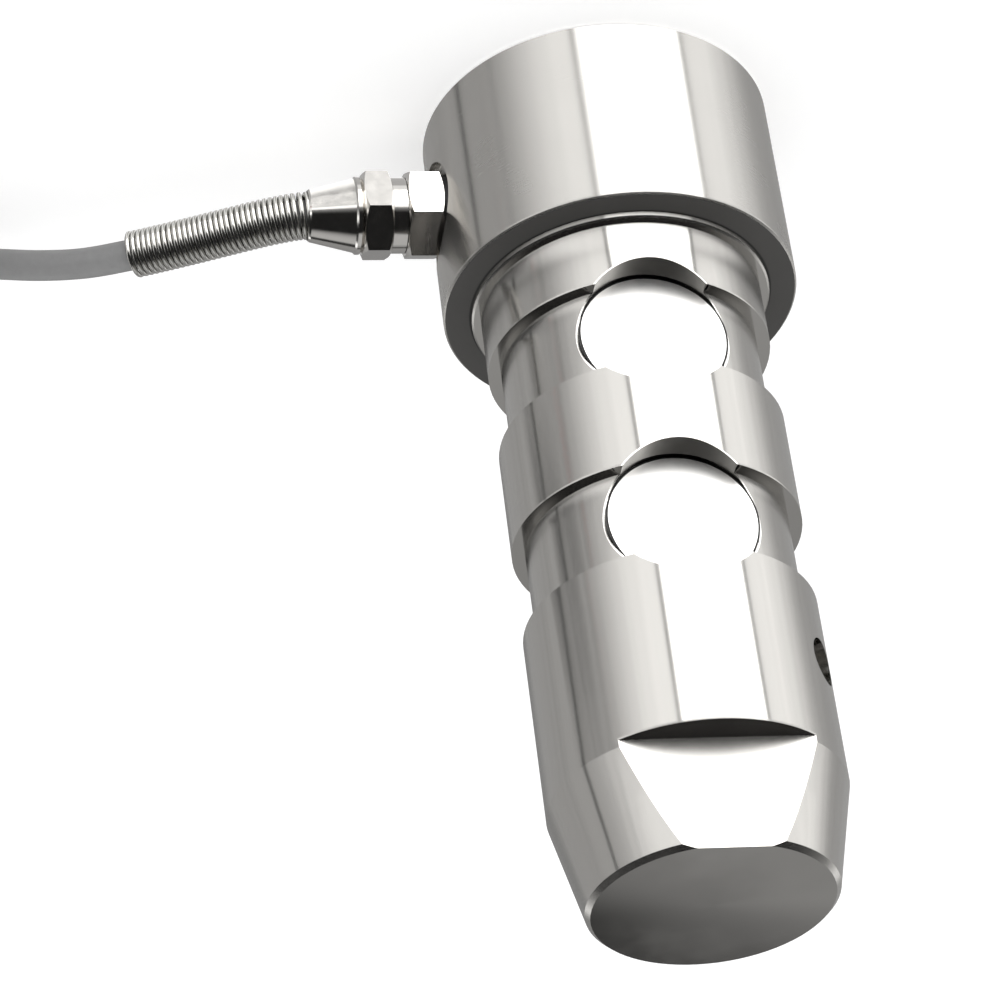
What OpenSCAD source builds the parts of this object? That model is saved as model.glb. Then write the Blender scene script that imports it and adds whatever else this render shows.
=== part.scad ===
// Shear pin load cell, standing on its head.
// Z runs from the head end face to the tip, the pockets face -Y and the cable gland points along +X.
// Lengths are in millimetres.

/* [Head] */
// diameter of the head
head_d = 76; // [74:0.5:80]
// length of the head, from the end face to the shoulder
head_len = 46.5; // [45:0.5:50]
// how far the collar at the root of the shank stands out from it
collar_step = 2; // [1:0.25:4]
// length of the collar
collar_len = 1.3; // [0.8:0.1:2]
// thickness of the wall round the room for the electronics
head_wall = 12; // [11:0.25:13]
// distance from the end face to the bottom of that room
cavity_end = 36; // [35:0.5:38]

/* [Shank] */
// diameter of the three bearing lands
shank_d = 60; // [58:0.5:61]
// depth of the two necks
neck_depth = 2.8; // [1.5:0.1:3.4]
// length of each neck
neck_w = 21; // [16:0.5:24]
// middle of the first neck
neck_1_z = 72.5; // [71:0.5:74]
// middle of the second neck
neck_2_z = 118; // [117:0.5:121]
// distance from the end face to the wall of the keeper flat
keeper_z = 168; // [162:0.5:172]
// depth of the keeper flat under the surface of the shank
keeper_depth = 7.1; // [4:0.1:8]
// where the cone of the tip starts
cone_z = 169.5; // [167:0.5:175]
// length of the cone
cone_len = 21.5; // [18:0.5:26]
// how far the cone comes in from the shank
cone_in = 5; // [3:0.25:5.5]
// chamfer round the tip
tip_chamfer = 1; // [0.5:0.1:2]

/* [Gauge pockets] */
// diameter of each pocket
pocket_d = 31.3; // [29:0.1:32]
// depth of the face of a pocket cover under the surface of the shank
cover_sink = 6.6; // [5.5:0.1:7.5]
// thickness of a pocket cover
cover_t = 1.6; // [1:0.1:2]
// gap round a pocket cover
cover_gap = 0.15; // [0.05:0.05:0.3]
// diameter of the gauge well under a cover
well_d = 27; // [24:0.5:27.5]
// thickness of the web that carries the gauges
web_t = 10; // [8:0.5:12]

/* [Blind hole] */
// diameter of the blind hole in the lower land
blind_d = 10; // [6:0.5:12]
// depth of the blind hole
blind_depth = 9; // [5:0.5:12]
// distance from the end face to the blind hole
blind_z = 146.5; // [142:0.5:152]
// turn of the blind hole from the pocket side
blind_turn = 60; // [45:1:80]

/* [Cable gland] */
// height of the gland axis over the end face
gland_z = 21.75; // [20:0.25:22]
// depth of the round seat that is cut into the head for the gland
seat_depth = 2.2; // [1.8:0.1:3.5]
// diameter of that seat
seat_d = 23; // [21.5:0.5:26]
// diameter of the threaded stub
stub_d = 16; // [14:0.5:16]
// width over the flats of the first hexagon
hex_1_af = 18; // [17:0.2:18.4]
// length of the first hexagon
hex_1_len = 7.8; // [6:0.2:9]
// width over the flats of the second hexagon
hex_2_af = 17.4; // [17:0.2:19]
// length of the second hexagon
hex_2_len = 6.2; // [5:0.2:8]
// length of the flared bell behind the second hexagon
bell_len = 11.6; // [10:0.2:14]
// diameter of the bell at its small end
bell_end_d = 11.4; // [11.2:0.1:12.4]

/* [Spring and cable] */
// outer diameter of the spring
spring_d = 10.4; // [9.8:0.1:10.6]
// thickness of the spring wire
wire_d = 1.1; // [0.9:0.05:1.15]
// number of turns in the spring
spring_turns = 35; // [20:1:35]
// diameter of the cable
cable_d = 7; // [6:0.1:7.2]
// radius of the middle of the coil
coil_r = 42; // [38:0.5:42]
// width of the coil's section, four turns beside each other
coil_w = 28; // [24:0.5:28]
// height of the coil's section, three turns on each other
coil_h = 21; // [18:0.5:22]
// thickness of the ties round the coil
tie_t = 1; // [0.6:0.1:1.2]
// width of the ties
tie_w = 4.8; // [3:0.2:5]

/* [Electronics] */
// gap between the round board and the wall of its room
board_gap = 2; // [1.75:0.25:4]
// thickness of the board
board_t = 1.6; // [1.2:0.1:2]
// height of the posts under the board
post_h = 7; // [6:0.5:8]
// diameter of the wiring bores
bore_d = 5; // [4:0.1:6]
// distance from the middle of the web to a wiring bore
bore_off = 11; // [10:0.5:12]
// diameter of a bundle of gauge leads
lead_d = 2.6; // [2:0.1:3]

/* [Head cover] */
// width of the rim round the cover that closes the head
lid_rim = 3; // [3:0.25:4]
// thickness of that cover
lid_t = 4; // [3.5:0.1:4.5]
// gap round that cover
lid_gap = 0.1; // [0.05:0.05:0.2]
// distance from the edge of that cover to the middle of its screws
lid_screw_in = 3.4; // [3.2:0.1:4]
// number of cover screws
lid_screws = 4; // [3:1:6]

/* [Hidden] */
$fn = 96;
eps = 0.01;
// how far a cut runs past the face that it opens
over = 1;
thread_gap = 0.05;
edge = 0.4;

// places and diameters along the pin
cavity_d = head_d - 2*head_wall;
lid_d = head_d - 2*lid_rim;
lid_screw_r = lid_d/2 - lid_screw_in;
collar_d = shank_d + 2*collar_step;
neck_d = shank_d - 2*neck_depth;
cone_d = shank_d - 2*cone_in;
keeper_dist = shank_d/2 - keeper_depth;
cavity_h = cavity_end - lid_t;
shank_z = head_len + collar_len;
cone_end_z = cone_z + cone_len;
tip_z = cone_end_z + tip_chamfer;
blind_end = shank_d/2 - blind_depth;

// gauge wells
cover_face = shank_d/2 - cover_sink;
ledge = cover_face - cover_t;
gauge_l = 11;
gauge_w = 8;
gauge_t = 0.3;
pad_l = 3;
pad_w = 2;
pad_t = 0.6;
pad_x = 8.5;
lead_short = 8;
lead_bush_len = 6;
bush_in = 0.5;

// gland pieces along X
seat_x = head_d/2 - seat_depth;
seal_t = 0.8;
seal_d = 17.4;
hex_1_x = seat_x + seal_t;
neck_x = hex_1_x + hex_1_len;
ring_len = 3;
ring_gap = 0.1;
ring_d = 16.4;
hex_2_x = neck_x + ring_len + 2*ring_gap;
bell_x = hex_2_x + hex_2_len;
mouth_x = bell_x + bell_len;
bell_d = 16.8;
rim_len = 1.4;
gland_neck_d = 14;
gland_neck_len = 10;
claw_d = 12;
claw_bore = 10;
bush_sink = 1.5;
bush_x = neck_x + bush_sink;
bush_len = gland_neck_len - bush_sink - 0.5;
fit_gap = 0.05;
stub_short = 0.2;
stub_in = seat_x - cavity_d/2 - stub_short;
stub_bore = cable_d + 0.8;
spring_seat = 2.4;
spring_gap = 0.1;
nut_room = neck_x + gland_neck_len + 0.5;
nut_cone = 3.5;
hex_1_turn = 26;
hex_2_turn = 34;
hex_bevel = 0.8;
hex_rim = 0.25;
bell_edge = 0.6;
bell_lip = 0.3;

// points that the cable follows, chosen by hand: how far out from the head, how far sideways,
// and how high, as a share of the gland's height
cable_points = [
    [-16, 0, 1], [-4, 0, 1], [8, 0, 1], [18, 0, 1], [23, 0, 1], [28, 0, 1],
    [32, 0.9, 1], [37, 2.6, 1], [43, 5, 1], [50, 8, 0.995], [57, 11, 0.985],
    [65, 14.5, 0.96], [74, 18.5, 0.9], [83, 22.6, 0.755], [92, 26.7, 0.555],
    [101, 30.7, 0.34], [110, 34.7, 0.155], [117, 37.8, 0.045], [124, 40.9, 0]
];
cable_route = [for (p = cable_points)
    [head_d/2 + p[0], p[1], cable_d/2 + p[2]*(gland_z - cable_d/2)]];
// sides of the cable and rings in each leg of the route
route_sides = 10;
rings_between = 2;
last_leg = len(cable_route) - 1;
coil_turn = 24;
coil_dir = [cos(coil_turn), sin(coil_turn), 0];

// the coil and what hangs on it
coil_bevel = 2;
turn_r = coil_r + coil_w/2 - cable_d/2;
lead_in = 29;
route_end = cable_route[last_leg];
coil_mid = [
    route_end[0] + lead_in*coil_dir[0] + turn_r*sin(coil_turn),
    route_end[1] + lead_in*coil_dir[1] - turn_r*cos(coil_turn)
];
tie_angles = [150, 330];
tie_gap = 0.15;
out_angle = -85;
out_len = 42;
sleeve_len = 12;
sleeve_t = 0.8;
sleeve_on = 10;
cores = 4;
core_d = 1.4;
core_pitch = 1.6;
core_len = 26;
core_gap = 0.4;
core_spread = 5;
ferrule_d = 2.2;
ferrule_len = 8;
far_z = tie_t + cable_d/2;

// the spring's own sweep
spring_start = mouth_x - spring_seat;
spring_steps = 14;
spring_sides = 6;
turn_gap = 0.08;
spring_pitch = wire_d + turn_gap;

// board and what is on it
jacket_in = cable_route[0][0];
post_z = cavity_end - post_h;
board_z = post_z - board_t;
post_d = 6;
board_d = cavity_d - 2*board_gap;
post_in = 5;
post_r = board_d/2 - post_in;
post_angles = [70, 220, 300];
screw_d = 3;
board_screw_len = 4.5;
pan_d = 5.4;
pan_h = 2;
slit_w = 0.8;
screw_room = 0.4;
core_run = 7;
block_l = 8;
block_x = jacket_in - core_run - block_l/2;
block_w = 16;
block_h = 9;
slot_pitch = 3.2;
slot_w = 2.7;
slot_h = 2.4;
slot_depth = 4;
clamp_d = 2.4;
clamp_depth = 1.4;
core_in = 1.2;
chip_x = (block_x - block_l/2 - board_d/2)/2;
chip_l = 10;
chip_w = 8;
chip_h = 2;
resistor_rows = [-4.5, -1.5, 1.5, 4.5];
resistor_l = 3.2;
resistor_w = 1.6;
resistor_h = 1;

// lid, its seal and screws
groove_w = 1.6;
groove_r = (cavity_d/2 + lid_screw_r - screw_d/2)/2;
seal_h = 1.4;
csk_d = 5.6;
csk_h = 1.5;
csk_sink = 0.2;
lid_screw_len = 10;
hex_key = 2;
key_depth = 1;

// piece to draw, or all

// A cylinder that runs along X from x = 0, with room for a different size at its far end.
module along_x(d, l, d2 = -1) {
    rotate([0, 90, 0]) cylinder(d1 = d, d2 = d2 < 0 ? d : d2, h = l);
}

// A hexagonal prism along X with chamfered ends, one corner turned up from -Y.
module hex_x(af, l, turn) {
    corner_d = af/cos(30);
    intersection() {
        rotate([0, 90, 0]) rotate([0, 0, -90 + turn]) cylinder(d = corner_d, h = l, $fn = 6);
        rotate([0, 90, 0]) rotate_extrude() polygon([
            [0, 0], [af/2 - hex_rim, 0], [corner_d/2 + eps, hex_bevel],
            [corner_d/2 + eps, l - hex_bevel], [af/2 - hex_rim, l], [0, l]
        ]);
    }
}

// A round rod from one point to another.
module rod(from, to, d) {
    run = to - from;
    translate(from) rotate([0, acos(run[2]/norm(run)), atan2(run[1], run[0])])
        cylinder(d = d, h = norm(run), $fn = 24);
}

// The sideways place of a core in a row with the given pitch.
function in_row(i, pitch) = (i - (cores - 1)/2)*pitch;

module at_pocket(z, front) {
    translate([0, 0, z]) mirror([0, front ? 0 : 1, 0]) children();
}

// A disc or bore that lies across the pin, from one distance off the axis to another.
module across(d, from, to) {
    translate([0, -from, 0]) rotate([90, 0, 0]) cylinder(d = d, h = to - from);
}

module pin_turned() {
    rotate_extrude() polygon([
        [0, 0], [head_d/2 - edge, 0], [head_d/2, edge],
        [head_d/2, head_len - edge], [head_d/2 - edge, head_len],
        [collar_d/2, head_len], [collar_d/2, shank_z - edge], [collar_d/2 - edge, shank_z],
        [shank_d/2, shank_z],
        [shank_d/2, neck_1_z - neck_w/2], [neck_d/2, neck_1_z - neck_w/2],
        [neck_d/2, neck_1_z + neck_w/2], [shank_d/2, neck_1_z + neck_w/2],
        [shank_d/2, neck_2_z - neck_w/2], [neck_d/2, neck_2_z - neck_w/2],
        [neck_d/2, neck_2_z + neck_w/2], [shank_d/2, neck_2_z + neck_w/2],
        [shank_d/2, cone_z], [cone_d/2, cone_end_z], [cone_d/2 - tip_chamfer, tip_z], [0, tip_z]
    ]);
}

module pocket_cuts() {
    for (z = [neck_1_z, neck_2_z], front = [true, false]) at_pocket(z, front) {
        across(pocket_d, ledge, shank_d/2 + over);
        across(well_d, web_t/2, ledge + eps);
    }
    for (s = [-1, 1]) translate([0, s*bore_off, cavity_end - over])
        cylinder(d = bore_d, h = neck_2_z - cavity_end);
}

module head_cuts() {
    translate([0, 0, -over]) cylinder(d = lid_d + 2*lid_gap, h = lid_t + over);
    translate([0, 0, lid_t - eps]) cylinder(d = cavity_d, h = cavity_h + eps);
    translate([0, 0, lid_t - eps]) rotate_extrude()
        translate([groove_r - groove_w/2, 0]) square([groove_w, seal_h + eps]);
    for (i = [0:lid_screws - 1]) rotate(45 + i*360/lid_screws) translate([lid_screw_r, 0, lid_t - over])
        cylinder(d = screw_d + 2*thread_gap, h = lid_screw_len, $fn = 32);
    translate([seat_x, 0, gland_z]) along_x(seat_d, head_d);
    translate([cavity_d/2 - 2*over, 0, gland_z]) along_x(stub_d + 2*thread_gap, seat_x);
}

module keeper_cut() {
    translate([-shank_d/2, -shank_d/2 - keeper_dist, keeper_z]) cube([shank_d, shank_d/2, tip_z]);
}

module pin_body() {
    color("#b9b6b1") difference() {
        pin_turned();
        pocket_cuts();
        head_cuts();
        keeper_cut();
        translate([0, 0, blind_z]) rotate(-blind_turn) across(blind_d, blind_end, shank_d/2 + over);
    }
}

module pocket_cover(z, front) {
    color("#e6e5e2") at_pocket(z, front) across(pocket_d - 2*cover_gap, ledge, cover_face);
}

module cover_front_upper() { pocket_cover(neck_1_z, true); }
module cover_front_lower() { pocket_cover(neck_2_z, true); }
module cover_rear_upper() { pocket_cover(neck_1_z, false); }
module cover_rear_lower() { pocket_cover(neck_2_z, false); }

// A foil gauge bonded to the web in the middle of its well.
module gauge(z, front) {
    color("#b5772f") at_pocket(z, front)
        translate([-gauge_l/2, -web_t/2 - gauge_t, -gauge_w/2]) cube([gauge_l, gauge_t, gauge_w]);
}

module gauge_front_upper() { gauge(neck_1_z, true); }
module gauge_front_lower() { gauge(neck_2_z, true); }
module gauge_rear_upper() { gauge(neck_1_z, false); }
module gauge_rear_lower() { gauge(neck_2_z, false); }

module solder_pads() {
    color("#c8c4b4") for (z = [neck_1_z, neck_2_z], front = [true, false], s = [-1, 1]) at_pocket(z, front)
        translate([s*pad_x - pad_l/2, -web_t/2 - pad_t, -pad_w/2]) cube([pad_l, pad_t, pad_w]);
}

// A bundle of leads from the lower well to the back of the board.
module lead_bundle(side) {
    color("#3f6fb0") translate([0, side*bore_off, post_z])
        cylinder(d = lead_d, h = neck_2_z - lead_short - post_z, $fn = 32);
}

module leads_front() { lead_bundle(-1); }
module leads_rear() { lead_bundle(1); }

module lead_bushes() {
    color("#2d2d2f") for (s = [-1, 1]) translate([0, s*bore_off, cavity_end + bush_in]) difference() {
        cylinder(d = bore_d, h = lead_bush_len, $fn = 48);
        translate([0, 0, -over]) cylinder(d = lead_d, h = lead_bush_len + 2*over, $fn = 32);
    }
}

module terminal_board() {
    color("#2f6b45") translate([0, 0, board_z]) difference() {
        cylinder(d = board_d, h = board_t);
        for (a = post_angles) rotate(a) translate([post_r, 0, -over])
            cylinder(d = screw_d + screw_room, h = board_t + 2*over, $fn = 32);
    }
}

module board_posts() {
    color("#cbb26a") for (a = post_angles) rotate(a) translate([post_r, 0, post_z]) difference() {
        cylinder(d = post_d, h = post_h, $fn = 6);
        translate([0, 0, -over]) cylinder(d = screw_d + 2*thread_gap, h = board_screw_len + over, $fn = 32);
    }
}

module board_screws() {
    color("#c9c9c6") for (a = post_angles) rotate(a) translate([post_r, 0, 0]) difference() {
        union() {
            translate([0, 0, board_z - pan_h]) cylinder(d = pan_d, h = pan_h, $fn = 32);
            translate([0, 0, board_z - eps])
                cylinder(d = screw_d, h = board_t + board_screw_len - screw_room, $fn = 32);
        }
        translate([-pan_d/2, -slit_w/2, board_z - pan_h - over]) cube([pan_d, slit_w, over + slit_w]);
    }
}

module terminal_block() {
    color("#3c7a4a") translate([block_x - block_l/2, -block_w/2, board_z - block_h]) difference() {
        cube([block_l, block_w, block_h]);
        for (i = [0:cores - 1]) {
            translate([
                block_l - slot_depth, block_w/2 + in_row(i, slot_pitch) - slot_w/2, board_to_core() - slot_h/2
            ]) cube([slot_depth + over, slot_w, slot_h]);
            translate([block_l/2, block_w/2 + in_row(i, slot_pitch), -over])
                cylinder(d = clamp_d, h = over + clamp_depth, $fn = 24);
        }
    }
}

// height of the cable cores over the lower face of the terminal block
function board_to_core() = gland_z - (board_z - block_h);

module amplifier_chip() {
    color("#232325") translate([chip_x - chip_l/2, -chip_w/2, board_z - chip_h])
        cube([chip_l, chip_w, chip_h]);
}

module board_resistors() {
    color("#4a4036") for (y = resistor_rows)
        translate([chip_x - chip_l, y - resistor_w/2, board_z - resistor_h])
            cube([resistor_l, resistor_w, resistor_h]);
}

module head_cover() {
    color("#bfbdb9") difference() {
        cylinder(d = lid_d, h = lid_t);
        for (i = [0:lid_screws - 1]) rotate(45 + i*360/lid_screws) translate([lid_screw_r, 0, 0]) {
            translate([0, 0, -over]) cylinder(d = screw_d + screw_room, h = lid_t + 2*over, $fn = 32);
            translate([0, 0, csk_sink]) cylinder(d1 = csk_d, d2 = screw_d + screw_room, h = csk_h, $fn = 32);
            translate([0, 0, -over]) cylinder(d = csk_d, h = over + csk_sink + eps, $fn = 32);
        }
    }
}

module cover_seal() {
    color("#1d1d1e") translate([0, 0, lid_t]) rotate_extrude() intersection() {
        translate([groove_r, seal_h/2]) circle(d = groove_w - 2*fit_gap, $fn = 32);
        translate([groove_r - groove_w, 0]) square([2*groove_w, seal_h]);
    }
}

module cover_screws() {
    color("#c4c3c0") for (i = [0:lid_screws - 1])
        rotate(45 + i*360/lid_screws) translate([lid_screw_r, 0, csk_sink]) difference() {
            union() {
                cylinder(d1 = csk_d - 2*fit_gap, d2 = screw_d, h = csk_h, $fn = 32);
                cylinder(d = screw_d, h = lid_screw_len, $fn = 32);
            }
            translate([0, 0, -over]) cylinder(d = hex_key/cos(30), h = over + key_depth, $fn = 6);
        }
}

module gland_seal() {
    color("#202022") translate([seat_x, 0, gland_z]) difference() {
        along_x(seal_d, seal_t);
        translate([-over, 0, 0]) along_x(stub_d + 2*fit_gap, seal_t + 2*over);
    }
}

module gland_body() {
    color("#c9c7c3") translate([0, 0, gland_z]) difference() {
        union() {
            translate([seat_x - stub_in, 0, 0]) along_x(stub_d, stub_in + seal_t + eps);
            translate([hex_1_x, 0, 0]) hex_x(hex_1_af, hex_1_len, hex_1_turn);
            translate([neck_x - eps, 0, 0]) along_x(gland_neck_d, gland_neck_len + eps);
        }
        translate([seat_x - stub_in - over, 0, 0]) along_x(stub_bore, 2*seat_x);
        translate([bush_x, 0, 0]) along_x(claw_d, gland_neck_len);
    }
}

module gland_claw() {
    color("#d8d6cf") translate([bush_x, 0, gland_z]) difference() {
        along_x(claw_d - 2*fit_gap, bush_len);
        translate([-over, 0, 0]) along_x(claw_bore, bush_len + 2*over);
    }
}

module gland_bush() {
    color("#252526") translate([bush_x, 0, gland_z]) difference() {
        along_x(claw_bore, bush_len);
        translate([-over, 0, 0]) along_x(cable_d, bush_len + 2*over);
    }
}

module gland_ring() {
    color("#c3c1bd") translate([neck_x + ring_gap, 0, gland_z]) difference() {
        along_x(ring_d, ring_len);
        translate([-over, 0, 0]) along_x(gland_neck_d + 2*fit_gap, ring_len + 2*over);
    }
}

// The clamping nut: a hexagon, a rim and a bell that narrows to the spring.
module gland_nut() {
    color("#cccac6") translate([0, 0, gland_z]) difference() {
        union() {
            translate([hex_2_x, 0, 0]) hex_x(hex_2_af, hex_2_len, hex_2_turn);
            translate([bell_x - eps, 0, 0]) rotate([0, 90, 0]) rotate_extrude() polygon([
                [0, 0], [bell_d/2 - bell_edge, 0], [bell_d/2, bell_edge], [bell_d/2, rim_len],
                [bell_d/2 - edge, rim_len + edge],
                [bell_end_d/2, bell_len - edge], [bell_end_d/2 - bell_lip, bell_len], [0, bell_len]
            ]);
        }
        translate([hex_2_x - over, 0, 0]) along_x(gland_neck_d + 2*thread_gap, over + nut_room - hex_2_x);
        translate([nut_room - eps, 0, 0]) along_x(claw_bore, nut_cone + eps, stub_bore);
        translate([nut_room, 0, 0]) along_x(stub_bore, mouth_x - nut_room);
        translate([spring_start - spring_gap, 0, 0]) along_x(spring_d + 2*spring_gap, spring_seat + over);
    }
}

// The route between its points: a smooth curve that passes through each of them.
function route_at(i) = cable_route[max(0, min(last_leg, i))];
function leg_point(i, t) =
    let (a = route_at(i - 1), b = route_at(i), c = route_at(i + 1), d = route_at(i + 2))
    0.5*((2*b) + (c - a)*t + (2*a - 5*b + 4*c - d)*t*t + (3*b - a - 3*c + d)*t*t*t);
function leg_slope(i, t) =
    let (a = route_at(i - 1), b = route_at(i), c = route_at(i + 1), d = route_at(i + 2))
    0.5*((c - a) + 2*(2*a - 5*b + 4*c - d)*t + 3*(3*b - a - 3*c + d)*t*t);
function unit(v) = v/norm(v);
function level_of(dir) = unit(cross([0, 0, 1], dir));
function lift_of(dir) = unit(cross(dir, level_of(dir)));

// How far along a leg the spring's own length lies, taken from the legs' straight lengths.
function leg_len(i) = norm(route_at(i + 1) - route_at(i));
function len_to(i) = i <= 0 ? 0 : len_to(i - 1) + leg_len(i - 1);
leg_starts = [for (i = [0:last_leg]) len_to(i)];
function leg_of(s, i = 0) = i >= last_leg - 1 || leg_starts[i + 1] > s ? i : leg_of(s, i + 1);
function point_along(s) = let (i = leg_of(s)) leg_point(i, (s - leg_starts[i])/leg_len(i));
function slope_along(s) = let (i = leg_of(s)) unit(leg_slope(i, (s - leg_starts[i])/leg_len(i)));

// Side faces and end faces of a sweep with a given number of rings and sides.
function sweep_faces(rings, sides) = concat(
    [[for (j = [0:sides - 1]) j]],
    [for (r = [0:rings - 2], j = [0:sides - 1])
        [r*sides + j, (r + 1)*sides + j, (r + 1)*sides + (j + 1) % sides, r*sides + (j + 1) % sides]],
    [[for (j = [sides - 1:-1:0]) (rings - 1)*sides + j]]
);

module spring_guard() {
    start = spring_start - cable_route[0][0];
    mid_r = (spring_d - wire_d)/2;
    count = spring_turns*spring_steps;
    rings = [for (k = [0:count]) let (
        a = k*360/spring_steps,
        s = start + wire_d/2 + k*spring_pitch/spring_steps,
        p = point_along(s), dir = slope_along(s),
        out = cos(a)*level_of(dir) + sin(a)*lift_of(dir)
    ) [for (j = [0:spring_sides - 1]) let (b = -j*360/spring_sides)
        p + mid_r*out + wire_d/2*(cos(b)*out + sin(b)*dir)]];
    color("#bdbbb7") polyhedron(
        [for (ring = rings) for (q = ring) q], sweep_faces(count + 1, spring_sides), convexity = 10
    );
}

module cable_cores() {
    color("#b03a2e") for (i = [0:cores - 1]) rod(
        [jacket_in - core_gap, in_row(i, core_pitch), gland_z],
        [block_x + block_l/2 - core_in, in_row(i, slot_pitch), gland_z], core_d
    );
}

module cable() {
    rings = [for (i = [0:last_leg - 1], k = [0:rings_between - 1]) let (t = k/rings_between)
        [leg_point(i, t), i == 0 ? [1, 0, 0] : unit(leg_slope(i, t))]];
    all_rings = concat(rings, [[route_end, coil_dir]]);
    points = [for (ring = all_rings) let (level = level_of(ring[1]), lift = lift_of(ring[1]))
        for (j = [0:route_sides - 1]) let (a = j*360/route_sides)
            ring[0] + cable_d/2*(cos(a)*level + sin(a)*lift)];
    color("#8d8d8d") polyhedron(points, sweep_faces(len(all_rings), route_sides), convexity = 8);
}

// The outer shape of the wound length, with the two ends that leave it.
module cable_coil() {
    color("#858585") {
        translate([coil_mid[0], coil_mid[1], tie_t]) rotate_extrude() translate([coil_r, 0])
            polygon([
                [-coil_w/2 + coil_bevel, 0], [coil_w/2 - coil_bevel, 0],
                [coil_w/2, coil_bevel], [coil_w/2, coil_h - coil_bevel],
                [coil_w/2 - coil_bevel, coil_h], [-coil_w/2 + coil_bevel, coil_h],
                [-coil_w/2, coil_h - coil_bevel], [-coil_w/2, coil_bevel]
            ]);
        translate(route_end) rotate([0, 0, coil_turn]) along_x(cable_d, lead_in);
        at_far_end() along_x(cable_d, out_len);
    }
}

// The far end leaves the coil sideways, with X along the cable.
module at_far_end() {
    translate([coil_mid[0] + turn_r*cos(out_angle), coil_mid[1] + turn_r*sin(out_angle), far_z])
        rotate([0, 0, out_angle - 90]) children();
}

module coil_ties() {
    color("#1b1b1c") for (a = tie_angles) translate([coil_mid[0], coil_mid[1], 0]) rotate(a)
        translate([coil_r, tie_w/2, 0]) rotate([90, 0, 0]) linear_extrude(tie_w) difference() {
            translate([-coil_w/2 - tie_t, 0]) square([coil_w + 2*tie_t, coil_h + 2*tie_t]);
            translate([-coil_w/2 - tie_gap, tie_t]) square([coil_w + 2*tie_gap, coil_h]);
        }
}

module jacket_end() {
    color("#1f1f20") at_far_end() translate([out_len - sleeve_on, 0, 0]) difference() {
        along_x(cable_d + 2*sleeve_t, sleeve_len);
        translate([-over, 0, 0]) along_x(cable_d, sleeve_len + 2*over);
    }
}

// Where a core leaves the jacket, and the way it fans out and comes down to the surface.
function core_start(i) = [out_len + core_gap, in_row(i, core_pitch), 0];
function core_way(i) = let (full = core_len + ferrule_len)
    [full, in_row(i, core_spread) - in_row(i, core_pitch), ferrule_d/2 + 2*fit_gap - far_z]/full;

module end_cores() {
    color("#a8a49a") at_far_end() for (i = [0:cores - 1])
        rod(core_start(i), core_start(i) + core_len*core_way(i), core_d);
}

module end_ferrules() {
    color("#d3d1cc") at_far_end() for (i = [0:cores - 1]) let (core_end = core_start(i) + core_len*core_way(i))
        rod(core_end, core_end + ferrule_len*core_way(i), ferrule_d);
}

pin_body();
cover_front_upper();
cover_front_lower();
cover_rear_upper();
cover_rear_lower();
gauge_front_upper();
gauge_front_lower();
gauge_rear_upper();
gauge_rear_lower();
solder_pads();
leads_front();
leads_rear();
lead_bushes();
terminal_board();
board_posts();
board_screws();
terminal_block();
amplifier_chip();
board_resistors();
head_cover();
cover_seal();
cover_screws();
gland_seal();
gland_body();
gland_claw();
gland_bush();
gland_ring();
gland_nut();
spring_guard();
cable_cores();
cable();
cable_coil();
coil_ties();
jacket_end();
end_cores();
end_ferrules();
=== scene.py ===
"""Looks for the shear pin load cell: steel, gland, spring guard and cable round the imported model."""
import math
import bpy
from mathutils import Matrix, Vector


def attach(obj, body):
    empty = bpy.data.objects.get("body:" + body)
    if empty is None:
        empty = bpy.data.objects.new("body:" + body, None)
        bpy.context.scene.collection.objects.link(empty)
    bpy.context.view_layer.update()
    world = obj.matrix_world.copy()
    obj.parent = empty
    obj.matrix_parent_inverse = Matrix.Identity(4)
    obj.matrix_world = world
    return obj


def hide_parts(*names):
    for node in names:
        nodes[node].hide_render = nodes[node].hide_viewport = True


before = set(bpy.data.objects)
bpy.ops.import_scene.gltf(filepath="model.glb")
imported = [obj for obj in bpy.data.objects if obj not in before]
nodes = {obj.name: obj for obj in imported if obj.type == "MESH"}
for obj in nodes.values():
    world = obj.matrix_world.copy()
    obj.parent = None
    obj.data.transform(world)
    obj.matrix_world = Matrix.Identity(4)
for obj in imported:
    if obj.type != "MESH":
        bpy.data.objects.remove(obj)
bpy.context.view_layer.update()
MM = 0.001


# Camera

lens_camera = bpy.data.cameras.new("photo_camera")
lens_camera.lens = 138.7
lens_camera.sensor_width = 36
lens_camera.clip_start = 0.05
lens_camera.clip_end = 20
camera = bpy.data.objects.new("photo_camera", lens_camera)
bpy.context.scene.collection.objects.link(camera)


def place_camera(place, azimuth, elevation, roll):
    """Looks along the photograph's direction, with the head of the pin at the top of the picture."""
    az, el = math.radians(azimuth), math.radians(elevation)
    back = Vector((math.sin(az)*math.cos(el), -math.cos(az)*math.cos(el), math.sin(el)))
    right = (-back).cross(Vector((0, 0, -1))).normalized()
    down = (-back).cross(right)
    turn = math.radians(roll)
    across = right*math.cos(turn) + down*math.sin(turn)
    below = down*math.cos(turn) - right*math.sin(turn)
    axes = Matrix((across, -below, back)).transposed().to_4x4()
    camera.matrix_world = Matrix.Translation(place) @ axes


place_camera(Vector((0.16346, -0.64235, 0.53817)), 11.62, 33.958, 7.376)
bpy.context.scene.camera = camera


# Cable: the route of the part's source, in metres, then the wound turns and the far end

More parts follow.
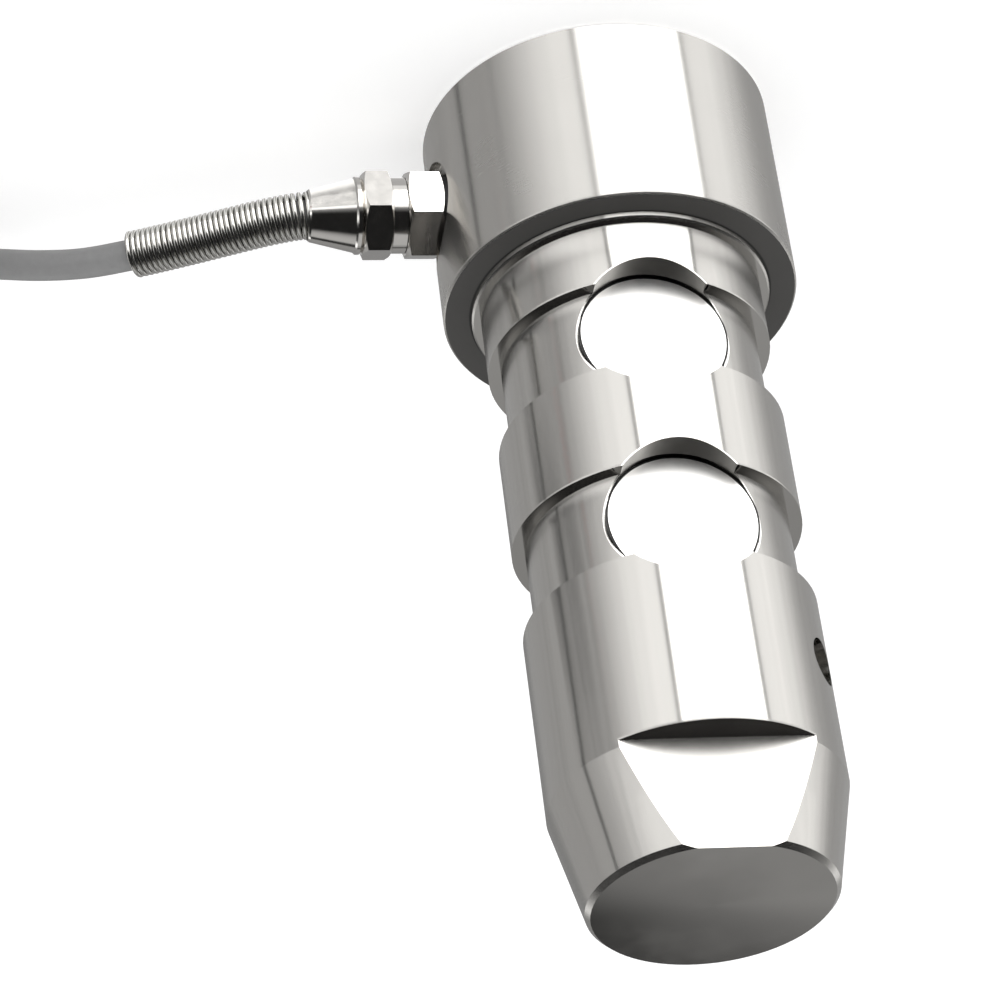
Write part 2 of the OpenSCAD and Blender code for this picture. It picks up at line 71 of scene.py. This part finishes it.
HEAD_RADIUS = 0.038
GLAND_HEIGHT = 0.02175
CABLE_RADIUS = 0.0035
ROUTE = [
    (-0.016, 0, 1), (-0.004, 0, 1), (0.008, 0, 1), (0.018, 0, 1), (0.023, 0, 1), (0.028, 0, 1),
    (0.032, 0.0009, 1), (0.037, 0.0026, 1), (0.043, 0.005, 1), (0.050, 0.008, 0.995), (0.057, 0.011, 0.985),
    (0.065, 0.0145, 0.96), (0.074, 0.0185, 0.9), (0.083, 0.0226, 0.755), (0.092, 0.0267, 0.555),
    (0.101, 0.0307, 0.34), (0.110, 0.0347, 0.155), (0.117, 0.0378, 0.045), (0.124, 0.0409, 0),
]
route = [Vector((HEAD_RADIUS + x, y, CABLE_RADIUS + z*(GLAND_HEIGHT - CABLE_RADIUS))) for x, y, z in ROUTE]
LEAD_TURN = math.radians(24)
LEAD_IN = 0.029
OUTER_TURN = 0.0525
TURN_STEP = 0.007
LOW_LAYER = 0.0045
lead_way = Vector((math.cos(LEAD_TURN), math.sin(LEAD_TURN), 0))
coil_mid = route[-1] + lead_way*LEAD_IN + OUTER_TURN*Vector((math.sin(LEAD_TURN), -math.cos(LEAD_TURN), 0))
FAR_LENGTH = 0.042


def smooth_through(points, i, t):
    """A point between two route points, on the smooth curve through all of them."""
    a, b, c, d = (points[max(0, min(len(points) - 1, k))] for k in (i - 1, i, i + 1, i + 2))
    return 0.5*(2*b + (c - a)*t + (2*a - 5*b + 4*c - d)*t*t + (3*b - a - 3*c + d)*t**3)


def ease(t):
    t = max(0.0, min(1.0, t))
    return 0.5 - 0.5*math.cos(math.pi*t)


# Places of the turns in the coil, as column and layer, and when the cable moves on to the next one
PLACES = [(0, 0), (1, 0), (2, 0), (3, 0), (3, 1), (2, 2), (2, 1), (1, 1), (1, 2), (0, 2), (0, 1), (0, 0)]
MOVE = 0.27
STAGGER = 0.3*MOVE
STARTS = {3: 0.02, 2: 0.02 + STAGGER, 1: 0.02 + STAGGER, 0: 0.02 + STAGGER, 10: 0.02 + 2*STAGGER,
          9: 0.02 + 3*STAGGER, 8: 0.02 + 4*STAGGER, 7: 0.02 + 5*STAGGER, 6: 0.02 + 6*STAGGER,
          5: 0.02 + 7*STAGGER}
START_ANGLE = 114
OUT_ANGLE = -85
LAST_TURN = (START_ANGLE - OUT_ANGLE)/360


def wound(turns):
    """The cable's place after some turns round the coil."""
    k = int(turns)
    f = turns - k
    (c0, l0), (c1, l1) = PLACES[k], PLACES[k + 1]
    if k == 4:
        up, across = ease((f - 0.02)/MOVE), ease((f - 0.02 - 8*STAGGER)/MOVE)
    else:
        up = across = ease((f - STARTS[k])/MOVE)
    column, layer = c0 + (c1 - c0)*across, l0 + (l1 - l0)*up
    angle = math.radians(START_ANGLE - 360*turns)
    radius = OUTER_TURN - TURN_STEP*column
    low = CABLE_RADIUS + (LOW_LAYER - CABLE_RADIUS)*ease(turns/0.15)
    return coil_mid.xy.to_3d() + Vector((radius*math.cos(angle), radius*math.sin(angle), low + TURN_STEP*layer))


def cable_line():
    line = [Vector((0.038, 0, GLAND_HEIGHT))]
    for i in range(1, len(route) - 1):
        line += [smooth_through(route, i, t/5) for t in range(5) if smooth_through(route, i, t/5).x > 0.0385]
    line += [route[-1] + lead_way*LEAD_IN*t/4 for t in range(4)]
    steps = 40
    count = int((10 + LAST_TURN)*steps)
    line += [wound((10 + LAST_TURN)*k/count) for k in range(count + 1)]
    out = math.radians(OUT_ANGLE - 90)
    tip = line[-1]
    line += [tip + Vector((math.cos(out), math.sin(out), 0))*FAR_LENGTH*t/5 for t in range(1, 6)]
    return line


def tube_curve(name, line, radius, sides):
    """A round tube along a line, as a curve of one open spline.

    The radius is set on its points, because the box round a curve counts their radius."""
    data = bpy.data.curves.new(name, "CURVE")
    data.dimensions = "3D"
    data.bevel_depth = 1.0
    data.bevel_resolution = sides//4 - 1
    data.use_fill_caps = True
    spline = data.splines.new("POLY")
    spline.points.add(len(line) - 1)
    for point, place in zip(spline.points, line):
        point.co = (*place, 1)
        point.radius = radius
    spline.use_smooth = True
    piece = bpy.data.objects.new(name, data)
    bpy.context.scene.collection.objects.link(piece)
    return piece


signal_cable = tube_curve("signal_cable", cable_line(), CABLE_RADIUS, 16)
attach(signal_cable, "root")
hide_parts("cable", "cable_coil")

inner_cable = tube_curve("signal_cable_inside", [Vector((x*MM, 0, GLAND_HEIGHT)) for x in (22, 26, 30, 34, 38)],
                         CABLE_RADIUS, 16)
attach(inner_cable, "root")


# Spring guard: a closely wound wire round the cable, finer than the one in the source

SPRING_START = 0.063
SPRING_TURNS = 35
WIRE = 0.0011
SPRING_PITCH = 0.00118
SPRING_MIDDLE = 0.5*(0.0104 - WIRE)
WIRE_STEPS = 36
WIRE_SIDES = 10


def leg_starts():
    starts, total = [0.0], 0.0
    for a, b in zip(route, route[1:]):
        total += (b - a).length
        starts.append(total)
    return starts


def on_route(s, starts):
    i = 0
    while i < len(route) - 2 and starts[i + 1] <= s:
        i += 1
    t = (s - starts[i])/(starts[i + 1] - starts[i])
    ahead = smooth_through(route, i, t + 0.01) - smooth_through(route, i, t - 0.01)
    return smooth_through(route, i, t), ahead.normalized()


def spring_mesh():
    starts = leg_starts()
    count = SPRING_TURNS*WIRE_STEPS
    points, faces = [], []
    for k in range(count + 1):
        s = SPRING_START - route[0].x + WIRE/2 + k*SPRING_PITCH/WIRE_STEPS
        place, way = on_route(s, starts)
        level = Vector((0, 0, 1)).cross(way).normalized()
        lift = way.cross(level)
        a = 2*math.pi*k/WIRE_STEPS
        out = math.cos(a)*level + math.sin(a)*lift
        for j in range(WIRE_SIDES):
            b = -2*math.pi*j/WIRE_SIDES
            points.append(place + SPRING_MIDDLE*out + WIRE/2*(math.cos(b)*out + math.sin(b)*way))
    for r in range(count):
        for j in range(WIRE_SIDES):
            n = (j + 1) % WIRE_SIDES
            faces.append((r*WIRE_SIDES + j, r*WIRE_SIDES + n, (r + 1)*WIRE_SIDES + n, (r + 1)*WIRE_SIDES + j))
    faces.append(tuple(range(WIRE_SIDES))[::-1])
    faces.append(tuple(count*WIRE_SIDES + j for j in range(WIRE_SIDES)))
    mesh = bpy.data.meshes.new("spring_wire")
    mesh.from_pydata(points, [], faces)
    mesh.validate()
    mesh.shade_smooth()
    return mesh


spring = bpy.data.objects.new("spring_wire", spring_mesh())
bpy.context.scene.collection.objects.link(spring)
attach(spring, "root")
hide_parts("spring_guard")


# Finishes


class Out:
    """A node socket that can be used in sums, so that shader maths reads as maths."""

    def __init__(self, tree, socket):
        self.tree, self.socket = tree, socket

    def make(self, kind, settings=None, **values):
        node = self.tree.nodes.new(kind)
        for key, value in (settings or {}).items():
            if key == "stops":
                ramp = node.color_ramp
                while len(ramp.elements) > len(value):
                    ramp.elements.remove(ramp.elements[-1])
                while len(ramp.elements) < len(value):
                    ramp.elements.new(1)
                for element, (place, tone) in zip(ramp.elements, value):
                    element.position = place
                    element.color = tone if len(tone) == 4 else (*tone, 1)
            elif key == "interpolation":
                node.color_ramp.interpolation = value
            else:
                setattr(node, key, value)
        for key, value in values.items():
            slot = node.inputs[int(key[1:])] if key[0] == "i" and key[1:].isdigit() else node.inputs[key.replace("_", " ")]
            if isinstance(value, Out):
                self.tree.links.new(value.socket, slot)
            elif value is not None:
                slot.default_value = value
        return node

    def maths(self, operation, other=None, third=None, clamp=False):
        node = self.make("ShaderNodeMath", {"operation": operation, "use_clamp": clamp}, i0=self, i1=other, i2=third)
        return Out(self.tree, node.outputs[0])

    def __add__(self, other): return self.maths("ADD", other)
    def __radd__(self, other): return self.maths("ADD", other)
    def __sub__(self, other): return self.maths("SUBTRACT", other)
    def __rsub__(self, other): return self.maths("MULTIPLY_ADD", -1.0, other)
    def __mul__(self, other): return self.maths("MULTIPLY", other)
    def __rmul__(self, other): return self.maths("MULTIPLY", other)
    def __truediv__(self, other): return self.maths("DIVIDE", other)
    def __pow__(self, other): return self.maths("POWER", other)
    def __neg__(self): return self.maths("MULTIPLY", -1.0)
    def __abs__(self): return self.maths("ABSOLUTE")

    def between(self, low, high):
        """0 below low, 1 above high, and smooth between them."""
        node = self.make("ShaderNodeMapRange", {"interpolation_type": "SMOOTHSTEP"}, i0=self, i1=low, i2=high, i3=0.0, i4=1.0)
        return Out(self.tree, node.outputs[0])


def band(value, low, high, soft):
    """1 between two values, with soft edges."""
    return value.between(low - soft, low + soft)*(1 - value.between(high - soft, high + soft))


class Finish:
    """A material with one Principled shader, and the coordinates of the piece in metres."""

    def __init__(self, name, color, metallic=0.0, roughness=0.5, **constants):
        self.material = bpy.data.materials.new(name)
        self.material.use_nodes = True
        self.tree = self.material.node_tree
        self.shader = self.tree.nodes["Principled BSDF"]
        for key, value in dict(Base_Color=(*color, 1), Metallic=metallic, Roughness=roughness, **constants).items():
            self.shader.inputs[key.replace("_", " ")].default_value = value
        self.start = Out(self.tree, None)
        geometry = self.start.make("ShaderNodeNewGeometry")
        self.place = Out(self.tree, geometry.outputs["Position"])
        self.normal = Out(self.tree, geometry.outputs["Normal"])
        normal = self.start.make("ShaderNodeSeparateXYZ", i0=self.normal)
        self.normal_y, self.normal_z = (Out(self.tree, normal.outputs[k]) for k in "YZ")
        parts = self.start.make("ShaderNodeSeparateXYZ", i0=self.place)
        self.x, self.y, self.z = (Out(self.tree, parts.outputs[k]) for k in "XYZ")

    def scaled(self, x, y, z):
        node = self.start.make("ShaderNodeVectorMath", {"operation": "MULTIPLY"}, i0=self.place, i1=(x, y, z))
        return Out(self.tree, node.outputs[0])

    def between_levels(self, middle, half):
        """1 within a thin slice across the axis."""
        return self.z.between(middle - half - 0.00001, middle - half)*(1 - self.z.between(middle + half, middle + half + 0.00001))

    def from_axis(self):
        """The distance to the pin's axis."""
        return (self.x*self.x + self.y*self.y).maths("SQRT")

    def combined(self, x, y, z):
        return Out(self.tree, self.start.make("ShaderNodeCombineXYZ", i0=x, i1=y, i2=z).outputs[0])

    def vector(self, operation, first, second=None, third=None):
        node = self.start.make("ShaderNodeVectorMath", {"operation": operation}, i0=first, i1=second, i2=third)
        return Out(self.tree, node.outputs[0])

    def noise(self, where, scale=1.0, detail=2.0, roughness=0.5):
        node = self.start.make("ShaderNodeTexNoise", Vector=where, Scale=scale, Detail=detail, Roughness=roughness)
        return Out(self.tree, node.outputs["Fac"])

    def mixed(self, share, first, second):
        node = self.start.make("ShaderNodeMix", {"data_type": "RGBA"}, i0=share,
                               i6=first if isinstance(first, Out) else (*first, 1),
                               i7=second if isinstance(second, Out) else (*second, 1))
        return Out(self.tree, node.outputs[2])

    def feed(self, **links):
        for key, value in links.items():
            self.tree.links.new(value.socket, self.shader.inputs[key.replace("_", " ")])
        return self

    def bump(self, height, strength, distance):
        node = self.start.make("ShaderNodeBump", Height=height, Strength=strength, Distance=distance)
        self.tree.links.new(node.outputs[0], self.shader.inputs["Normal"])
        return self


EDGES = (0.0461, 0.062, 0.1075)
SHOULDER = 0.0465
COLLAR_EDGE = 0.0474
KEEPER_EDGE = 0.168
FOOTS = ((0.0478, 0.007, 0.26), (0.062, 0.004, 0.2), (0.1075, 0.004, 0.2))
POCKETS = (0.0725, 0.118)
POCKET_RADIUS = 0.01565


def from_pocket(finish):
    """The distance to the nearer pocket's axis."""
    near = None
    for level in POCKETS:
        across = (finish.x*finish.x + (finish.z - level)*(finish.z - level)).maths("SQRT")
        near = across if near is None else near.maths("MINIMUM", across)
    return near


def turned_steel(name, color, roughness, anisotropy, head=0.0):
    """Steel from the lathe: fine rings round the axis, smoother faces, and a little cloudiness in the shine, with
    painted shade on the keeper wall, the pockets' walls and the shoulder ring.
    """
    finish = Finish(name, color, 1.0, roughness, Anisotropic=anisotropy, Anisotropic_Rotation=0.25)
    rings = finish.noise(finish.scaled(20, 20, 4000), 1.0, 3.0, 0.6)
    clouds = finish.noise(finish.place, 60.0, 3.0, 0.55)
    faced = abs(finish.normal_z).between(0.8, 0.95)
    on_head = (1 - finish.z.between(0.0463, 0.0465))*head
    # Painted shade: the keeper crescent's wall is painted at 0.15 of the steel's colour, for the dark that it mirrors.
    keeper_wall = faced*finish.between_levels(KEEPER_EDGE, 0.0001)
    shoulder = faced*finish.between_levels(SHOULDER, 0.0002)
    grain_and_painted_shade = finish.mixed(rings*0.25 + clouds*0.25, [0.9*c for c in color], color)
    grain_and_painted_shade = finish.mixed(keeper_wall, grain_and_painted_shade, [0.15*c for c in color])
    # Painted shade: a thin band on the pockets' walls is painted at half the steel's colour.
    pocket_wall = band(from_pocket(finish), POCKET_RADIUS - 0.00008, POCKET_RADIUS + 0.00008, 0.00002)
    pocket_wall = pocket_wall*(1 - abs(finish.normal_y).between(0.1, 0.3))
    grain_and_painted_shade = finish.mixed(pocket_wall, grain_and_painted_shade, [0.5*c for c in color])
    # Painted shade: the shoulder ring is painted at 0.13 of the steel's colour and made mostly not metallic, with a
    # painted shadow line at 0.03 round its root by the collar.
    root = 1 - finish.from_axis().between(0.0323, 0.0326)
    shoulder_painted_shade = finish.mixed(root, [0.13*c for c in color], [0.03*c for c in color])
    smooth = faced*(1 - shoulder)
    finish.feed(Base_Color=finish.mixed(shoulder, grain_and_painted_shade, shoulder_painted_shade), Metallic=1 - shoulder*0.8,
                Roughness=(roughness + on_head + shoulder*0.2 + (clouds - 0.5)*0.08 + (rings - 0.5)*0.03
                           - smooth*(roughness - 0.05)))
    return finish, rings


def broken_edges(finish, rings):
    """Shades the edges of the lands and pockets as the small chamfers and run-outs that the tools leave."""
    lean = band(abs(finish.x), -1, 0.0195, 0.0001)*(1 - finish.y.between(-0.02, -0.019))
    lean = lean*finish.between_levels(KEEPER_EDGE - 0.0002, 0.0002)*0.36
    for edge in EDGES:
        lean = lean + finish.between_levels(edge - 0.0002, 0.0002)*0.36
    lean = lean + finish.between_levels((SHOULDER + COLLAR_EDGE)/2, (COLLAR_EDGE - SHOULDER)/2)*0.28
    for foot, length, most in FOOTS:
        lean = lean + finish.z.between(foot, foot + 0.00001)*(1 - finish.z.between(foot + 0.2*length, foot + length))*most
    lean = lean*(1 - abs(finish.normal_z).between(0.2, 0.3))
    leant = finish.vector("ADD", finish.normal, finish.combined(0.0, 0.0, lean))
    rim = band(from_pocket(finish), POCKET_RADIUS - 0.0002, POCKET_RADIUS + 0.0003, 0.00005)
    rim = rim*abs(finish.normal_y).between(0.4, 0.5)
    outward = finish.combined(0.0, finish.y/abs(finish.y), 0.0)
    turned = finish.vector("MULTIPLY_ADD", finish.vector("SUBTRACT", outward, leant), rim, leant)
    node = finish.start.make("ShaderNodeBump", Height=rings, Strength=0.08, Distance=0.00002,
                             Normal=finish.vector("NORMALIZE", turned))
    finish.tree.links.new(node.outputs[0], finish.shader.inputs["Normal"])
    return finish


def plain_metal(name, color, roughness, scale=400.0):
    finish = Finish(name, color, 1.0, roughness)
    grain = finish.noise(finish.place, scale, 3.0, 0.6)
    return finish.feed(Base_Color=finish.mixed(grain, [0.9*c for c in color], color),
                       Roughness=roughness + (grain - 0.5)*0.12)


def plain_solid(name, color, roughness, shade=0.8, scale=500.0):
    finish = Finish(name, color, 0.0, roughness)
    grain = finish.noise(finish.place, scale, 3.0, 0.6)
    finish.feed(Base_Color=finish.mixed(grain, [shade*c for c in color], color))
    return finish.bump(grain, 0.15, 0.00005)


STEEL = (0.62, 0.604, 0.576)
pin_steel = broken_edges(*turned_steel("turned_pin_steel", STEEL, 0.19, 1.0, head=0.07))
cover_steel = Finish("brushed_cover_steel", (0.8, 0.79, 0.77), 1.0, 0.36)
# Painted shade: a near-black ring painted inside each cover's edge stands for the shade in the gap round it.
gap_painted_shade = from_pocket(cover_steel).between(POCKET_RADIUS - 0.00062, POCKET_RADIUS - 0.0005)
cover_grain = cover_steel.noise(cover_steel.place, 400.0, 3.0, 0.6)
cover_steel.feed(Base_Color=cover_steel.mixed(gap_painted_shade, (0.8, 0.79, 0.77), (0.02, 0.02, 0.02)), Roughness=0.31 + cover_grain*0.1)
gland_steel = plain_metal("bright_gland_metal", (0.72, 0.7, 0.67), 0.12)
wire_steel = plain_metal("spring_wire_steel", (0.66, 0.65, 0.62), 0.2)
lid_steel = turned_steel("turned_lid_steel", STEEL, 0.16, 0.5)[0]
screw_steel = plain_metal("screw_steel", (0.6, 0.6, 0.6), 0.25)
jacket_grey = plain_solid("grey_cable_jacket", (0.3, 0.3, 0.3), 0.45)
black_rubber = plain_solid("black_rubber", (0.02, 0.02, 0.021), 0.55)
black_nylon = plain_solid("black_nylon", (0.025, 0.025, 0.027), 0.4)
foil_brown = plain_solid("gauge_foil", (0.55, 0.27, 0.08), 0.4)
board_green = plain_solid("board_green", (0.03, 0.16, 0.08), 0.35)
block_green = plain_solid("block_green", (0.05, 0.25, 0.1), 0.4)
chip_black = plain_solid("chip_black", (0.02, 0.02, 0.022), 0.5)
resistor_brown = plain_solid("resistor_brown", (0.08, 0.06, 0.045), 0.5)
solder = plain_metal("solder_tin", (0.7, 0.7, 0.68), 0.3)
brass = plain_metal("post_brass", (0.75, 0.56, 0.26), 0.28)
lead_blue = plain_solid("lead_blue", (0.08, 0.2, 0.5), 0.4)
core_colours = plain_solid("core_insulation", (0.6, 0.05, 0.04), 0.4)
claw_white = plain_solid("claw_plastic", (0.6, 0.59, 0.56), 0.45)

FINISHES = {
    "pin_body": pin_steel, "head_cover": lid_steel,
    "cover_front_upper": cover_steel, "cover_front_lower": cover_steel,
    "cover_rear_upper": cover_steel, "cover_rear_lower": cover_steel,
    "gauge_front_upper": foil_brown, "gauge_front_lower": foil_brown,
    "gauge_rear_upper": foil_brown, "gauge_rear_lower": foil_brown,
    "solder_pads": solder, "leads_front": lead_blue, "leads_rear": lead_blue, "lead_bushes": black_rubber,
    "terminal_board": board_green, "board_posts": brass, "board_screws": screw_steel,
    "terminal_block": block_green, "amplifier_chip": chip_black, "board_resistors": resistor_brown,
    "cover_seal": black_rubber, "cover_screws": screw_steel,
    "gland_seal": black_rubber, "gland_body": gland_steel, "gland_claw": claw_white, "gland_bush": black_rubber,
    "gland_ring": gland_steel, "gland_nut": gland_steel, "cable_cores": core_colours,
    "coil_ties": black_nylon, "jacket_end": black_rubber, "end_cores": core_colours, "end_ferrules": solder,
}


def finish_with(piece, finish):
    piece.data.materials.clear()
    piece.data.materials.append(finish.material)


for name, finish in FINISHES.items():
    finish_with(nodes[name], finish)

finish_with(signal_cable, jacket_grey)
finish_with(inner_cable, jacket_grey)
finish_with(spring, wire_steel)


# Floor, light and background

floor_mesh = bpy.data.meshes.new("studio_floor")
SIDE = 1.6
floor_mesh.from_pydata([(-SIDE, -SIDE, 0), (SIDE, -SIDE, 0), (SIDE, SIDE, 0), (-SIDE, SIDE, 0)], [], [(0, 1, 2, 3)])
floor = bpy.data.objects.new("studio_floor", floor_mesh)
floor.location.z = -0.0002
bpy.context.scene.collection.objects.link(floor)
floor_white = Finish("floor_white", (0.85, 0.85, 0.85), 0.0, 0.9)
floor_ray = floor_white.start.make("ShaderNodeLightPath")
lift = floor_white.start.make("ShaderNodeEmission", Color=(1, 1, 1, 1),
                              Strength=Out(floor_white.tree, floor_ray.outputs["Is Camera Ray"])*0.36)
both = floor_white.start.make("ShaderNodeAddShader", i0=Out(floor_white.tree, floor_white.shader.outputs[0]),
                              i1=Out(floor_white.tree, lift.outputs[0]))
floor_white.tree.links.new(both.outputs[0], floor_white.tree.nodes["Material Output"].inputs["Surface"])
floor_mesh.materials.append(floor_white.material)
floor.visible_glossy = False

world = bpy.data.worlds.new("studio")
bpy.context.scene.world = world
world.use_nodes = True
tree = world.node_tree
tree.nodes.clear()
start = Out(tree, None)
ray = start.make("ShaderNodeLightPath")
way = Out(tree, start.make("ShaderNodeTexCoord").outputs["Generated"])
parts = start.make("ShaderNodeSeparateXYZ", i0=way)
wx, wy, wz = (Out(tree, parts.outputs[k]) for k in "XYZ")
PHOTO_SIDE = math.radians(11.62 - 90)


PHOTO_LEVEL = math.cos(math.radians(34))
turned_x = wx*math.cos(PHOTO_SIDE) + wy*math.sin(PHOTO_SIDE)
turned_y = wy*math.cos(PHOTO_SIDE) - wx*math.sin(PHOTO_SIDE)


def side_of_studio():
    """The azimuth of a direction, in degrees round the pin from the side that the photograph shows."""
    return turned_y.maths("ARCTAN2", turned_x)*(180/math.pi)


def wall_that_mirrors():
    """The azimuth of the upright wall that mirrors a direction to the photograph's side, in degrees."""
    return turned_y.maths("ARCTAN2", turned_x + PHOTO_LEVEL)*(180/math.pi)


side = side_of_studio()
rise = wz.maths("ARCSINE")*(180/math.pi)
facing = wall_that_mirrors()


# Cards round the pin, placed by the wall that mirrors them: a white one, a softer one on each side of it,
# a thin dark edge, and grey between
deep = (rise + 31.5).maths("MAXIMUM", -8.0)
streaks = start.make("ShaderNodeTexNoise", {"noise_dimensions": "1D"}, W=facing, Scale=0.45, Detail=3.0, Roughness=0.6)
streaks = (Out(tree, streaks.outputs[0]) - 0.5)*0.3
white_card = band(facing, -31.3, 2.3, 0.3)*(rise.between(-46, -41)*3 + rise.between(-66, -60)*0.6)
white_card = white_card*(1 - rise.between(2, 12))
right_card = (facing + deep*0.5).between(-62, -41)*(1 - facing.between(-33.3, -32.7))*1.03
left_card = facing.between(3.7, 4.3)*(1 - (facing - deep*0.45).between(7, 35))*1.1
dark_edge = band(facing, 45.6, 47.2, 0.3)*0.44 + band(facing, 30, 33, 2)*0.07 - band(facing, 37, 55, 4)*0.06
far_left = facing.between(74, 86)*0.15
cards = (0.45 + white_card + right_card + left_card - dark_edge - far_left)*(1 + streaks)
under = (1 - rise.between(-66, -58))*0.12
horizon = band(rise, 4, 12, 2)*(1 - abs(side).between(140, 155))*1.4

# Overhead it is black in front, with a soft dark corner behind that the end face mirrors
behind = (turned_y/turned_x)*(180/math.pi)
corner = (1 - ((behind - 0.8)/3.7 + (rise - 26.8)/1.4).between(0.3, 1.5))*band(rise, 24, 40, 1)
away = abs(side).between(95, 150)
front_sky = (1 - abs(side).between(50, 80))*(1 - rise.between(6, 30))*0.4
overhead = 0.01 + front_sky + away*(0.34 - corner*0.32 + rise.between(32, 44)*0.22)
high = rise.between(-4, 8)
studio = cards*(1 - high) + overhead*high + under + horizon
camera_ray = Out(tree, ray.outputs["Is Camera Ray"])
glossy_ray = Out(tree, ray.outputs["Is Glossy Ray"])
strength = camera_ray + (1 - camera_ray)*(glossy_ray*studio + (1 - glossy_ray)*0.95)
background = start.make("ShaderNodeBackground", Color=(1, 1, 1, 1), Strength=strength)
tree.links.new(background.outputs[0], start.make("ShaderNodeOutputWorld").inputs["Surface"])

scene = bpy.context.scene
scene.view_settings.view_transform = "Standard"
